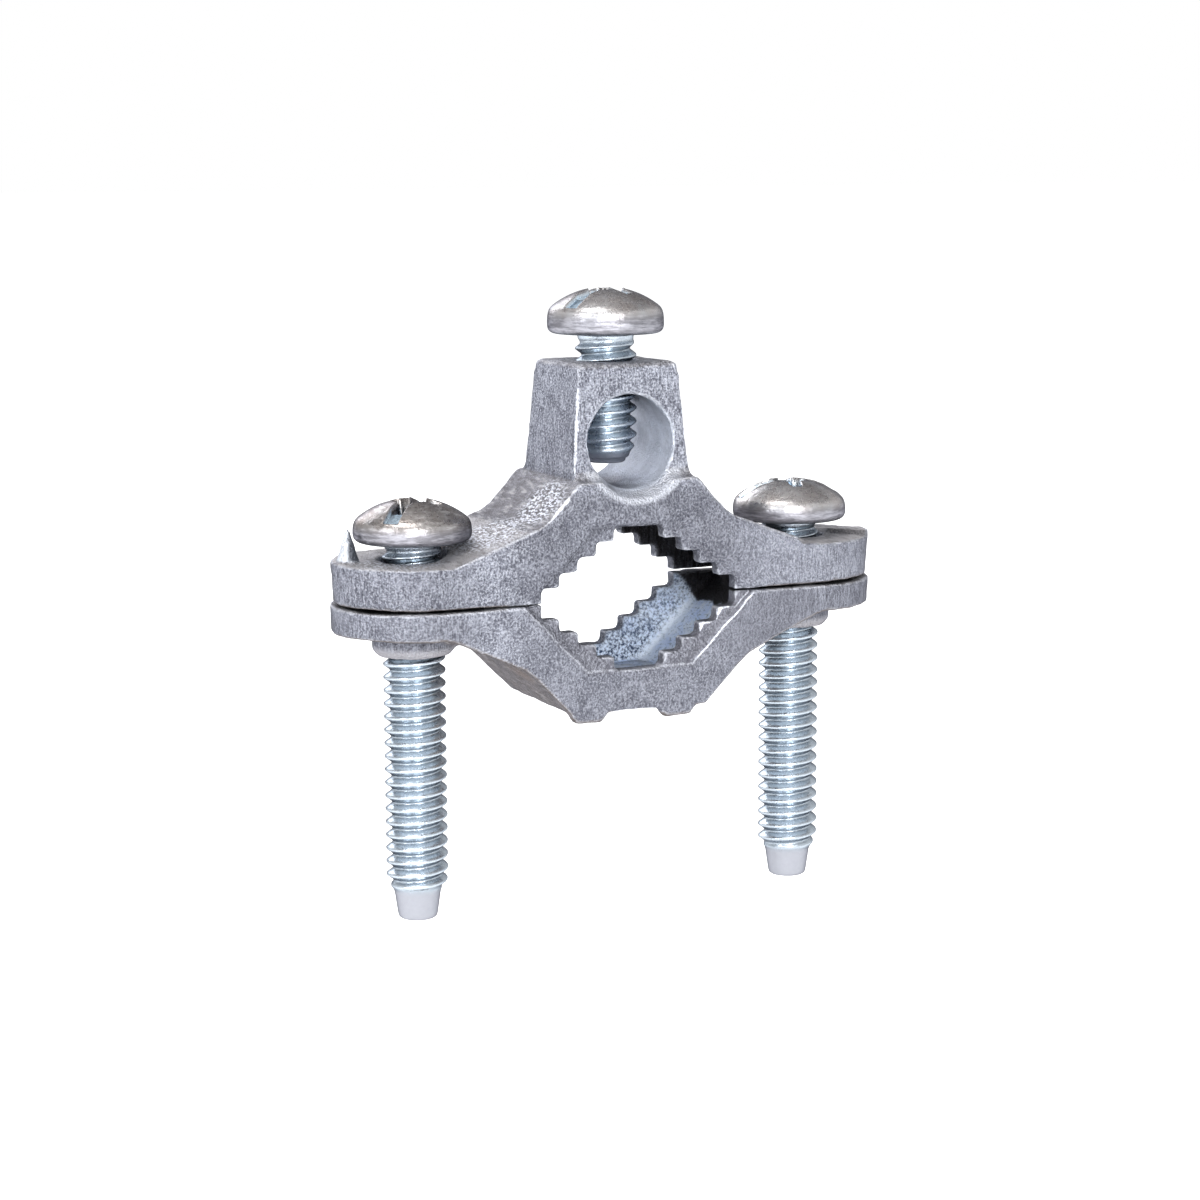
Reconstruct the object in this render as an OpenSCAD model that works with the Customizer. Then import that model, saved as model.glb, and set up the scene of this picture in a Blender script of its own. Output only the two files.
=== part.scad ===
// Bare-wire grounding clamp for pipe: two serrated, cored jaws drawn together
// by two clamp screws, with a wire lug and its set screw on the upper jaw.
// Millimetres, +Z up. X runs from ear to ear and Y runs along the pipe.
// The origin is the centre of the bite, midway between the jaws.

/* [Layout] */
// Distance between the axes of the two clamp screws
screw_spacing = 40; // [39:0.5:46]
// Gap between the split faces of the two jaws
jaw_gap = 0.3; // [0.2:0.1:2]
// How far each ear centre sits inboard of its screw
ear_inset = 0.15; // [0:0.05:0.6]
// Half depth of the jaws, and radius of their ends, at the widest
ear_r = 7.95; // [7.6:0.05:8.3]

/* [Jaw teeth and hollow] */
// Run of one tooth step along X
tooth_run = 1.9; // [1.6:0.05:2.1]
// Rise of one tooth step along Z
tooth_rise = 1.32; // [1.1:0.02:1.4]
// Half width of the flat at the bottom of each bite
bite_flat = 2.5; // [1.5:0.1:2.8]
// Rounding of the tooth edges
tooth_round = 0.28; // [0.05:0.01:0.4]
// Set-back of the upper border from the bite
upper_border = 1.2; // [0.6:0.1:1.8]
// Set-back of the lower border from the bite
lower_border = 1.8; // [0.6:0.1:2.2]
// How far the toothed face is set back from the widest front face
face_setback = 0.38; // [0.2:0.02:0.7]
// Width of the hollow between the front and back toothed walls
core_width = 11.9; // [9:0.1:12.6]
// Height of the hollow above the split face
core_height = 8.4; // [7.4:0.1:8.7]
// Half width of the hollow at the split face
core_half_split = 15; // [12:0.1:15.6]
// Half width of the hollow at its floor
core_half_floor = 6.6; // [4:0.1:7]

/* [Upper jaw] */
// How much the upper jaw draws in from its parting line to the split
upper_split_draft = 0.2; // [0:0.05:0.4]
// How much the upper jaw draws in from its parting line to the crown
upper_crown_draft = 0.45; // [0.1:0.05:0.6]
// Thickness of the ears
upper_ear_t = 3.9; // [3:0.1:4.4]
// Height of the arch crown above the split face
crown_height = 11; // [10.4:0.1:12]
// Half width of the crown
crown_half = 6.2; // [5.6:0.1:7]
// Half width where the steep flank ends
flank_half = 9.6; // [9:0.1:11]
// Height where the steep flank ends
flank_height = 7.35; // [6.6:0.1:8]
// Half width where the gentle slope meets the ear
slope_half = 18.9; // [17:0.1:19.2]
// Radial play of the clamp screws in the upper ears
ear_play = 0.35; // [0.1:0.05:0.8]

/* [Wire lug] */
// Top of the lug above the split face
lug_height = 21.9; // [21:0.1:25]
// Half width of the lug at its top
lug_top_half = 5.2; // [4.8:0.1:5.8]
// Half width of the lug at its foot
lug_foot_half = 6.1; // [5.9:0.05:6.2]
// Half depth of the lug at its top
lug_top_depth = 5.2; // [4.8:0.1:5.8]
// Half depth of the lug at its foot
lug_foot_depth = 5.95; // [5.85:0.05:6.6]
// Rounding of the lug's top edges
lug_round = 0.7; // [0.1:0.1:1.2]
// Radius of the fillet at the lug's foot
foot_fillet = 1.25; // [0.4:0.05:1.3]
// Radius of the wire hole
wire_hole_r = 4.4; // [3.6:0.05:4.6]
// Height of the wire hole's axis above the split face
wire_hole_height = 14.45; // [14.3:0.05:15]
// Radius of the flared lips of the wire hole
wire_flare_r = 5.45; // [5:0.05:5.7]

/* [Lower jaw] */
// How far the lower jaw stands proud of the upper one at the split
lower_overhang = 0.1; // [0:0.05:0.3]
// How much the lower jaw draws in from the split to the underside
lower_floor_draft = 0.65; // [0.2:0.05:0.8]
// Thickness of the ears
lower_ear_t = 2.65; // [2:0.05:3.4]
// Depth of the underside below the split face
belly_depth = 10.7; // [10.2:0.1:11.6]
// Half width of the flat underside
belly_half = 7; // [6.6:0.1:7.8]
// Half width where the steep flank ends
belly_flank_half = 11.6; // [11:0.1:12.6]
// Depth where the steep flank ends
belly_flank_depth = 6.1; // [5.6:0.1:6.8]
// Half width where the gentle slope meets the ear
belly_slope_half = 19.4; // [17.5:0.1:20.4]
// Wall of the threaded bosses round the screw
boss_wall = 1.05; // [0.8:0.05:1.6]
// Depth of the bosses below the split face
boss_depth = 4.95; // [4:0.05:6.5]
// Chamfer round the end of each boss
boss_chamfer = 0.65; // [0.2:0.05:0.65]
// Distance of each foot tab from their middle
tab_offset = 4.65; // [3.5:0.05:5]
// How far both foot tabs sit to the left of the bite's centre
tab_shift = 0.55; // [0:0.05:0.8]
// Half width of a foot tab at its root
tab_root_half = 1.9; // [1.5:0.05:2.2]
// Half width of a foot tab at its end
tab_end_half = 1.3; // [0.8:0.05:1.45]
// Height of the foot tabs
tab_height = 0.95; // [0.5:0.05:1.6]
// Length of the foot tabs along the pipe
tab_length = 1.1; // [0.8:0.1:4]

/* [Casting marks] */
// Height of the spur on the left ear
spur_height = 2.7; // [1:0.1:3.5]
// Base radius of the spur
spur_r = 0.95; // [0.5:0.05:1.1]
// Distance of the spur from the screw axis
spur_offset = 6.4; // [6:0.05:6.6]
// Height of the curved lip on the right ear
lip_height = 0.45; // [0.2:0.05:1]
// Middle radius of the curved lip about the ear centre
lip_r = 6.9; // [6.5:0.05:7]
// Width of the curved lip
lip_w = 0.7; // [0.4:0.05:1]
// Sweep of the curved lip in degrees
lip_sweep = 62; // [20:1:90]

/* [Screw threads] */
// Pitch of the threads
thread_pitch = 1.27; // [1:0.01:1.4]
// Thread crest radius
thread_r = 2.95; // [2.8:0.01:3.05]
// Depth of the thread
thread_depth = 0.62; // [0.3:0.01:0.7]
// Radial clearance round the crests in the threaded holes
thread_play = 0.06; // [0.05:0.01:0.1]
// Radius of the dog tip where the thread ends
dog_r = 2.4; // [2:0.05:2.6]
// Radius of the dog tip at its end
dog_end_r = 1.88; // [1.5:0.02:1.94]

/* [Screw heads] */
// Radius of the pan heads
head_r = 5.6; // [5:0.05:6]
// Height of the clamp screws' heads
clamp_head_h = 4.05; // [3.8:0.05:4.8]
// Height of the wire screw's head
wire_head_h = 4.4; // [3.8:0.05:4.8]
// Height of the rounding at the bottom edge of the heads
head_edge = 0.7; // [0.4:0.05:1]
// Radius of the curve of the domes
dome_curve_r = 8.3; // [7.5:0.1:9.5]
// Radius where the rims of the domes start to fall off
dome_rim_r = 4.9; // [4.5:0.05:5]
// How far the rims of the domes fall off
dome_rim_fall = 0.28; // [0.1:0.02:0.4]
// Radius of the flat underside of the head
head_seat_r = 4.85; // [4.2:0.05:4.9]
// Width of the driving slot
slot_width = 1.3; // [0.8:0.05:1.8]
// Depth of the driving slot at its middle
slot_depth = 1.5; // [1:0.1:2]
// Length of the cross recess
cross_length = 6.2; // [4:0.1:7]
// Width of the cross recess wings
cross_width = 1.3; // [0.8:0.05:1.6]
// Depth of the cross recess
cross_depth = 2.3; // [1.6:0.1:2.8]

/* [Clamp screws] */
// Height of the left clamp head above its ear
left_head_lift = 1.65; // [1.5:0.05:3]
// Height of the right clamp head above its ear
right_head_lift = 1.5; // [1.5:0.05:3]
// Length of the clamp screws under the head
clamp_length = 36.3; // [32:0.1:42]
// Length of the clamp screws' dog tips
clamp_dog = 2.9; // [1.5:0.1:4]
// Turn of the left clamp head's slot
left_slot_turn = 46; // [0:1:180]
// Turn of the right clamp head's slot
right_slot_turn = 168; // [0:1:180]

/* [Wire screw] */
// Height of the wire screw's head above the lug
wire_head_lift = 2.5; // [2.1:0.1:4]
// Length of the wire screw under the head
wire_length = 12.4; // [11:0.1:13.5]
// Length of the wire screw's plain end
wire_dog = 1; // [0.5:0.1:1.5]
// Turn of the wire screw's slot
wire_slot_turn = 25; // [0:1:180]

/* [Colours] */
// Cast zinc of the jaws
zinc_colour = [0.66, 0.66, 0.69];
// Plated steel of the screws
steel_colour = [0.72, 0.73, 0.74];

/* [Hidden] */
$fn = 64;

teeth = 5;
split_z = jaw_gap / 2;
screw_x = screw_spacing / 2;
ear_x = screw_x - ear_inset;
upper_part_r = ear_r;
upper_split_r = ear_r - upper_split_draft;
upper_crown_r = ear_r - upper_crown_draft;
lower_split_r = ear_r + lower_overhang;
lower_floor_r = lower_split_r - lower_floor_draft;
face_y = upper_part_r - face_setback;
bite_height = teeth * tooth_rise;
bite_mouth = bite_flat + (teeth - 1) * tooth_run;
border_rise = 0.35;
boss_r = thread_r + boss_wall;
border_height = bite_height + border_rise;
overlap = 0.3;
deep = 40;

// Outline corner rounding: convex corners by a, hollow corners by b
module soften(a, b) {
    offset(r = a, $fn = 40)
        offset(delta = -a)
            offset(r = -b, $fn = 96)
                offset(delta = b)
                    children();
}

// Prism of an XZ outline, run along Y from y0 to y1
module along_y(y0, y1) {
    translate([0, y1, 0])
        rotate([90, 0, 0])
            linear_extrude(height = y1 - y0)
                children();
}

// Prism of a YZ outline, run along X over a half width either side
module along_x(half) {
    translate([-half, 0, 0])
        rotate([90, 0, 90])
            linear_extrude(height = 2 * half)
                children();
}

// Round-ended plan of a jaw, drafted from one half depth to another
module plan_body(r0, r1, z0, z1) {
    for (side = [-1, 1])
        translate([side * ear_x, 0, z0])
            cylinder(h = z1 - z0, r1 = r0, r2 = r1);
    along_x(ear_x)
        polygon([[-r0, z0], [r0, z0], [r1, z1], [-r1, z1]]);
}

// Stepped outline of one bite, opening from the split face upward
function bite_steps() = [
    for (k = [0 : teeth - 1])
        each [
            [bite_mouth - k * tooth_run, k * tooth_rise],
            [bite_mouth - k * tooth_run, (k + 1) * tooth_rise]
        ]
];

module bite_outline() {
    steps = bite_steps();
    mirrored = [for (k = [len(steps) - 1 : -1 : 0]) [-steps[k][0], steps[k][1]]];
    offset(r = -tooth_round, $fn = 24)
        offset(delta = tooth_round)
            polygon(concat([[bite_mouth, -deep]], steps, mirrored, [[-bite_mouth, -deep]]));
}

// Everything that is cut away between the jaws, opening downward from z = 0
module bite_cut(border) {
    mouth = bite_mouth + border;
    along_y(-deep, deep)
        bite_outline();
    along_y(-core_width / 2, core_width / 2)
        polygon([
            [-core_half_split, 0],
            [-core_half_split, -overlap],
            [core_half_split, -overlap],
            [core_half_split, 0],
            [core_half_floor, core_height],
            [-core_half_floor, core_height]
        ]);
    for (side = [0, 1])
        mirror([0, side, 0])
            along_y(face_y, deep)
                polygon([
                    [-mouth - overlap, -overlap],
                    [mouth + overlap, -overlap],
                    [mouth - border_height, border_height],
                    [-mouth + border_height, border_height]
                ]);
}

// Outline of an arch from its crown, flank and slope corners
module arch_outline(crown, top, flank, flank_z, slope, ear_z) {
    soften(0.5, 3.5)
        polygon([
            [deep, -deep],
            [deep, ear_z],
            [slope, ear_z],
            [flank, flank_z],
            [crown, top],
            [-crown, top],
            [-flank, flank_z],
            [-slope, ear_z],
            [-deep, ear_z],
            [-deep, -deep]
        ]);
}

// Wire lug: drafted on all four sides, filleted into the crown front and back
module lug() {
    foot = crown_height - 2;
    intersection() {
        along_y(-deep, deep)
            soften(lug_round, 0.01)
                polygon([
                    [-lug_foot_half, foot - deep],
                    [lug_foot_half, foot - deep],
                    [lug_foot_half, foot + 2],
                    [lug_top_half, lug_height],
                    [-lug_top_half, lug_height],
                    [-lug_foot_half, foot + 2]
                ]);
        along_x(deep)
            soften(lug_round, foot_fillet)
                polygon([
                    [-upper_crown_r, foot],
                    [upper_crown_r, foot],
                    [upper_crown_r, crown_height],
                    [lug_foot_depth, crown_height],
                    [lug_top_depth, lug_height],
                    [-lug_top_depth, lug_height],
                    [-lug_foot_depth, crown_height],
                    [-upper_crown_r, crown_height]
                ]);
    }
}

// Wire hole, flared where it breaks out over the arch
module wire_hole() {
    translate([0, 0, wire_hole_height])
        rotate([90, 0, 0]) {
            cylinder(h = deep, r = wire_hole_r, center = true, $fn = 96);
            for (side = [0, 1])
                mirror([0, 0, side])
                    translate([0, 0, lug_foot_depth - 0.15])
                        cylinder(
                            h = upper_part_r - lug_foot_depth + 0.3,
                            r1 = wire_hole_r - 0.02,
                            r2 = wire_flare_r,
                            $fn = 96
                        );
        }
}

module spur() {
    translate([-screw_x - spur_offset, 0, upper_ear_t - overlap])
        cylinder(h = spur_height + overlap, r1 = spur_r, r2 = 0.12, $fn = 32);
}

module lip() {
    translate([ear_x, 0, upper_ear_t - overlap])
        rotate([0, 0, 8])
            rotate_extrude(angle = lip_sweep)
                translate([lip_r - lip_w / 2, 0])
                    square([lip_w, lip_height + overlap]);
}

module upper_jaw() {
    color(zinc_colour)
        translate([0, 0, split_z])
            difference() {
                union() {
                    intersection() {
                        union() {
                            plan_body(upper_split_r, upper_part_r, 0, upper_ear_t);
                            plan_body(upper_part_r, upper_crown_r, upper_ear_t, crown_height + 1);
                        }
                        along_y(-deep, deep)
                            arch_outline(
                                crown_half, crown_height, flank_half, flank_height,
                                slope_half, upper_ear_t
                            );
                    }
                    lug();
                    spur();
                    lip();
                }
                bite_cut(upper_border);
                wire_hole();
                for (side = [-1, 1])
                    translate([side * screw_x, 0, 0])
                        cylinder(h = deep, r = thread_r + ear_play, center = true);
                translate([0, 0, wire_hole_height])
                    cylinder(h = deep, r = thread_r + thread_play);
            }
}

// Two short tabs under the front edge of the lower jaw
module foot_tabs() {
    for (side = [-1, 1])
        translate([side * tab_offset - tab_shift, 0, 0])
            along_y(-lower_split_r, -lower_floor_r + tab_length)
                polygon([
                    [-tab_root_half, belly_depth - overlap],
                    [tab_root_half, belly_depth - overlap],
                    [tab_root_half, belly_depth],
                    [(tab_root_half + tab_end_half) / 2, belly_depth + tab_height * 0.6],
                    [tab_end_half, belly_depth + tab_height],
                    [-tab_end_half, belly_depth + tab_height],
                    [-(tab_root_half + tab_end_half) / 2, belly_depth + tab_height * 0.6],
                    [-tab_root_half, belly_depth]
                ]);
}

// Drawn upside down, so that the split face is at z = 0 like the upper jaw's
module lower_jaw() {
    color(zinc_colour)
        translate([0, 0, -split_z])
            mirror([0, 0, 1])
                difference() {
                    union() {
                        intersection() {
                            plan_body(
                                lower_split_r, lower_floor_r, 0,
                                belly_depth + tab_height + 1
                            );
                            union() {
                                along_y(-deep, deep)
                                    arch_outline(
                                        belly_half, belly_depth, belly_flank_half,
                                        belly_flank_depth, belly_slope_half, lower_ear_t
                                    );
                                foot_tabs();
                            }
                        }
                        for (side = [-1, 1])
                            translate([side * screw_x, 0, overlap]) {
                                cylinder(h = boss_depth - boss_chamfer - overlap, r = boss_r);
                                translate([0, 0, boss_depth - boss_chamfer - overlap])
                                    cylinder(
                                        h = boss_chamfer,
                                        r1 = boss_r,
                                        r2 = boss_r - boss_chamfer * 0.8
                                    );
                            }
                    }
                    bite_cut(lower_border);
                    for (side = [-1, 1])
                        translate([side * screw_x, 0, 0])
                            cylinder(h = deep, r = thread_r + thread_play, center = true);
                }
}

// Right half of the pan head: its rounded bottom edge, then the dome from its rim
function head_side() = [
    for (t = [0 : 15 : 90])
        [
            head_seat_r + (head_r - head_seat_r) * sin(t),
            head_edge * (1 - cos(t))
        ]
];
function dome_z(height, r) =
    height - dome_curve_r + sqrt(dome_curve_r * dome_curve_r - r * r)
    - dome_rim_fall * pow(max(0, (r - dome_rim_r) / (head_r - dome_rim_r)), 3);
function head_dome(height) = [
    for (t = [0 : 7.5 : 90])
        [head_r * cos(t), dome_z(height, head_r * cos(t))]
];

// Ring grooves of the thread from the top of the shank down to its end
function thread_rings(count) = [
    for (k = [0 : count - 1])
        each [
            [thread_r - thread_depth, -(k + 0.1) * thread_pitch],
            [thread_r, -(k + 0.4) * thread_pitch],
            [thread_r, -(k + 0.6) * thread_pitch],
            [thread_r - thread_depth, -(k + 0.9) * thread_pitch]
        ]
];

// Whole screw with the underside of its head at z = 0
module screw(length, dog, height, turn) {
    count = floor((length - dog) / thread_pitch);
    difference() {
        rotate_extrude()
            polygon(concat(
                [[0, height]],
                [[0, -length], [dog_end_r, -length], [dog_r, -length + dog]],
                [for (k = [4 * count - 1 : -1 : 0]) thread_rings(count)[k]],
                [[thread_r - thread_depth, 0]],
                head_side(),
                head_dome(height)
            ));
        rotate([0, 0, turn]) {
            translate([0, 0, height])
                cube([2 * head_r + 1, slot_width, 2 * slot_depth], center = true);
            for (quarter = [0, 90])
                rotate([0, 0, quarter])
                    translate([0, 0, height])
                        cube([cross_length, cross_width, 2 * cross_depth], center = true);
        }
    }
}

module clamp_screw(side, lift, turn) {
    color(steel_colour)
        translate([side * screw_x, 0, split_z + upper_ear_t + lift])
            screw(clamp_length, clamp_dog, clamp_head_h, turn);
}

module clamp_screw_left() {
    clamp_screw(-1, left_head_lift, left_slot_turn);
}

module clamp_screw_right() {
    clamp_screw(1, right_head_lift, right_slot_turn);
}

module wire_screw() {
    color(steel_colour)
        translate([0, 0, split_z + lug_height + wire_head_lift])
            screw(wire_length, wire_dog, wire_head_h, wire_slot_turn);
}

upper_jaw();
lower_jaw();
clamp_screw_left();
clamp_screw_right();
wire_screw();
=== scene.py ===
# %% [markdown]
# # A grounding clamp for pipe
# Two die-cast zinc jaws close on a pipe under two long plated screws. A lug on
# the upper jaw takes the ground wire, which a short screw presses down. This
# lesson dresses the measured CAD parts: the castings get eased edges, bright edge
# wear that is partly painted highlight, a grained skin and painted light and shade in
# places, and the screws get true helical threads and driving recesses, with painted
# shade and reflections.

# %% Load the measured parts
import math

import bpy
import numpy as np
from mathutils import Matrix, Vector


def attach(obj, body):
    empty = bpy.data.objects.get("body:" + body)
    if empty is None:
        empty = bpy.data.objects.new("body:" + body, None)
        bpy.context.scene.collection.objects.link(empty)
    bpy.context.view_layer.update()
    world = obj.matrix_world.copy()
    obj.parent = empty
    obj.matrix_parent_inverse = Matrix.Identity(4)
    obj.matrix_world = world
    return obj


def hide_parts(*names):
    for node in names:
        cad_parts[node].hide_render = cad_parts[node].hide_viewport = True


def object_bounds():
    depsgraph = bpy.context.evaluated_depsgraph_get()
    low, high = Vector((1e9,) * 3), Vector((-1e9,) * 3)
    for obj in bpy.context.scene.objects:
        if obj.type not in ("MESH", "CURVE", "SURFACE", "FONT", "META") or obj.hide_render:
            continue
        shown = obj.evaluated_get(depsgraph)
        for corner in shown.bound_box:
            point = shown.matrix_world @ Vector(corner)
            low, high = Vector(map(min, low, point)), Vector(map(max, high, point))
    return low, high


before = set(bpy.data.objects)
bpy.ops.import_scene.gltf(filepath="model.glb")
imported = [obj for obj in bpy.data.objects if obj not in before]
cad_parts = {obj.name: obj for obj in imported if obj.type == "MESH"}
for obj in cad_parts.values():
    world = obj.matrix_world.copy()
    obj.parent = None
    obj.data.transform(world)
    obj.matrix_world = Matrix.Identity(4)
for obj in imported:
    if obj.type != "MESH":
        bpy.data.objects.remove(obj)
cad_low, cad_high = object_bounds()
MM = 0.001
DEG = math.pi / 180
print("CAD box in mm:", [round(x / MM, 2) for x in (*cad_low, *cad_high)])

# %% [markdown]
# ## The camera
# The photograph was fitted by a pinhole camera 270 mm away, 24 degrees to the
# left and 9 degrees up. A camera could be turned with constraints, but three
# axes in a matrix repeat the fit exactly, roll and off-centre aim included.

# %% Place the camera
FOCAL_PX, FRAME_PX = 2788.0, 1200
YAW, RISE, ROLL = 24.42 * DEG, 9.071 * DEG, -0.267 * DEG
DISTANCE, AIM_U, AIM_V = 270.49, 606.6, 586.37
SENSOR = 36

toward = np.array([
    -math.sin(YAW) * math.cos(RISE), -math.cos(YAW) * math.cos(RISE), math.sin(RISE)
])
level = np.array([math.cos(YAW), -math.sin(YAW), 0.0])
upright = np.cross(level, -toward)
right = math.cos(ROLL) * level + math.sin(ROLL) * upright
up = -math.sin(ROLL) * level + math.cos(ROLL) * upright
off_x = (AIM_U - FRAME_PX / 2) * DISTANCE / FOCAL_PX
off_y = -(AIM_V - FRAME_PX / 2) * DISTANCE / FOCAL_PX
eye = (toward * DISTANCE - off_x * right - off_y * up) * MM

camera_data = bpy.data.cameras.new("camera")
camera_data.sensor_width = SENSOR
camera_data.lens = SENSOR * FOCAL_PX / FRAME_PX
camera_data.clip_start = 0.01
camera = bpy.data.objects.new("camera", camera_data)
bpy.context.scene.collection.objects.link(camera)
camera.matrix_world = Matrix([
    [right[k], up[k], toward[k], eye[k]] for k in range(3)
] + [[0, 0, 0, 1]])
bpy.context.scene.camera = camera
bpy.context.scene.view_settings.view_transform = "Standard"
print("camera at", [round(x / MM, 1) for x in eye], "mm, lens", round(camera_data.lens, 2))

# %% [markdown]
# ## A mesh from arrays
# Every new piece is worked out as whole arrays of points in millimetres and rows
# of corner numbers. One helper turns them into a smooth object in metres, with
# its place in its mesh, so that the object itself stays at the origin.

# %% Helper: arrays to an object
def mesh_object(name, points, faces):
    """A new smooth object from points in mm and faces as lists of corner numbers."""
    mesh = bpy.data.meshes.new(name)
    mesh.from_pydata((np.asarray(points) * MM).tolist(), [], faces)
    mesh.polygons.foreach_set("use_smooth", np.ones(len(mesh.polygons), bool))
    mesh.update()
    piece = bpy.data.objects.new(name, mesh)
    bpy.context.scene.collection.objects.link(piece)
    return piece


def store(piece, name, values):
    """Keeps one number for each point of the mesh, for its material to read."""
    attribute = piece.data.attributes.new(name, "FLOAT", "POINT")
    attribute.data.foreach_set("value", np.asarray(values, np.float32))


def smooth_step(low, high, x):
    """Rises from 0 at low to 1 at high along 3t^2 - 2t^3."""
    t = np.clip((x - low) / (high - low), 0, 1)
    return t * t * (3 - 2 * t)


# %% [markdown]
# ## The screws
# A rolled screw has a helical thread, and its pan head is struck cold, which
# leaves a slot across a cross recess with small burrs along their edges. A
# boolean of boxes would give knife edges, so the dome is a height over the plane:
# the dome's own height, lowered to the floors of the slot, the cross and its core.
# Its grid lines run straight along the slot, close together at its walls, so
# that the walls come out clean.

# %% Screw sizes in mm, nearly all as in the CAD source
THREAD_PITCH, THREAD_R, THREAD_DEPTH = 1.27, 2.95, 0.62
HEAD_R, HEAD_EDGE, SEAT_R = 5.6, 0.7, 4.85
DOME_CURVE_R, DOME_RIM_R, DOME_RIM_FALL = 8.3, 4.9, 0.28
SLOT_HALF, SLOT_DEPTH, SLOT_RUN_OUT = 0.72, 1.5, 0.42
CROSS_REACH, CROSS_HALF, CROSS_DEPTH, CORE_R = 3.2, 0.66, 2.3, 1.55
CAP_R, SLOT_END_R, SLOT_MIDDLE, WALL_EASE = 5.3, 4.95, 2.9, 0.07
NECK_R, ROOT_R = THREAD_R - 0.25, THREAD_R - THREAD_DEPTH
print("screw heads", 2 * HEAD_R, "mm across, threads", 2 * THREAD_R, "mm")

# %% Helper: the recessed top of a head
def dome_height(radius, height):
    """Height of the plain dome over a radius: a round cap, h - R + sqrt(R^2 - r^2),
    whose rim falls off with the cube of the way to the edge."""
    cap = height - DOME_CURVE_R + np.sqrt(DOME_CURVE_R**2 - np.clip(radius, 0, HEAD_R) ** 2)
    return cap - DOME_RIM_FALL * np.clip((radius - DOME_RIM_R) / (HEAD_R - DOME_RIM_R), 0, 1) ** 3


def recess_depth(x, y, dome, height):
    """Depth of slot and cross under the dome. The slot's floor is flat in the middle
    and runs out shallow at its ends, and the cross's wings rise along 1 - t^2.6 around
    a round core. Their walls fall within 0.16 mm, and the core's within 0.4 mm."""
    deepest = SLOT_RUN_OUT * smooth_step(SLOT_END_R + 0.25, SLOT_END_R, np.hypot(x, y))
    middle = smooth_step(SLOT_MIDDLE + 0.6, SLOT_MIDDLE, np.abs(x))
    deepest = deepest + middle * np.maximum(dome - (height - SLOT_DEPTH) - deepest, 0)
    deepest = deepest * smooth_step(SLOT_HALF + WALL_EASE, SLOT_HALF - WALL_EASE, np.abs(y))
    for along, across in ((x, y), (y, x)):
        reach = np.clip(np.abs(along) / CROSS_REACH, 0, 1)
        half = CROSS_HALF * (1.12 - 0.3 * reach)
        wall = smooth_step(half + WALL_EASE, half - 0.09, np.abs(across))
        wing = CROSS_DEPTH * (1 - reach**2.6) * wall
        deepest = np.maximum(deepest, wing - (height - dome))
    core = CROSS_DEPTH * smooth_step(CORE_R + 0.2, CORE_R - 0.2, np.hypot(x, y))
    return np.maximum(deepest, core - (height - dome))


def with_close_lines(even, marks, gap):
    """Even grid lines, with the marks put in and the even lines next to them left out."""
    far = np.min(np.abs(even[:, None] - marks[None]), axis=1) > gap
    return np.sort(np.concatenate([even[far], marks]))


def dome_top(height):
    """The recessed top of a head as a grid of straight chords: x = u sqrt(R^2 - y^2).
    Returns its points, its faces and the corner numbers of its rim, turning left."""
    steps = np.array([-0.15, -0.07, 0, 0.07, 0.15])
    walls = np.concatenate([side * SLOT_HALF + steps for side in (-1, 1)])
    y = with_close_lines(CAP_R * np.sin(np.linspace(-90, 90, 67) * DEG), walls, 0.06)
    wings = np.linspace(0.095, 0.175, 9)
    u = with_close_lines(np.sin(np.linspace(-90, 90, 71) * DEG), np.concatenate([-wings, wings]), 0.012)
    rows, columns = len(y) - 2, len(u)
    inner = y[1:-1, None]
    x = u[None, :] * np.sqrt(CAP_R**2 - inner**2)
    flat = np.stack([x, np.broadcast_to(inner, x.shape)], axis=2).reshape(-1, 2)
    plane = np.concatenate([[[0, -CAP_R]], flat, [[0, CAP_R]]])
    radius = np.hypot(plane[:, 0], plane[:, 1])
    dome = dome_height(radius, height)
    edge = np.exp(-(((np.abs(plane[:, 1]) - SLOT_HALF - 0.13) / 0.09) ** 2))
    burr = 0.05 * edge * (1 + np.sin(plane[:, 0] * 2.9 + height)) * smooth_step(5.2, 4.6, radius)
    z = dome + burr - recess_depth(plane[:, 0], plane[:, 1], dome, height)
    number = 1 + np.arange(rows * columns).reshape(rows, columns)
    quads = np.stack([number[:-1, :-1], number[:-1, 1:], number[1:, 1:], number[1:, :-1]], axis=2)
    faces = quads.reshape(-1, 4).tolist()
    last = rows * columns + 1
    faces += [[0, b, a] for a, b in zip(number[0, :-1].tolist(), number[0, 1:].tolist())]
    faces += [[last, a, b] for a, b in zip(number[-1, :-1].tolist(), number[-1, 1:].tolist())]
    rim = [0] + number[:, -1].tolist() + [last] + number[::-1, 0].tolist()
    return np.column_stack([plane, z]), faces, rim


# %% Helpers: the thread, the head's side and the shank
def thread_height(turns):
    """Height of the rolled thread over its root, 0 to 1, against turns of the helix:
    a V ridge almost a pitch wide, its crest a little flattened."""
    t = np.clip((0.45 - np.abs(turns - np.floor(turns) - 0.5)) / 0.39, 0, 1)
    return 0.8 * t + 0.2 * t * t * (3 - 2 * t)


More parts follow.
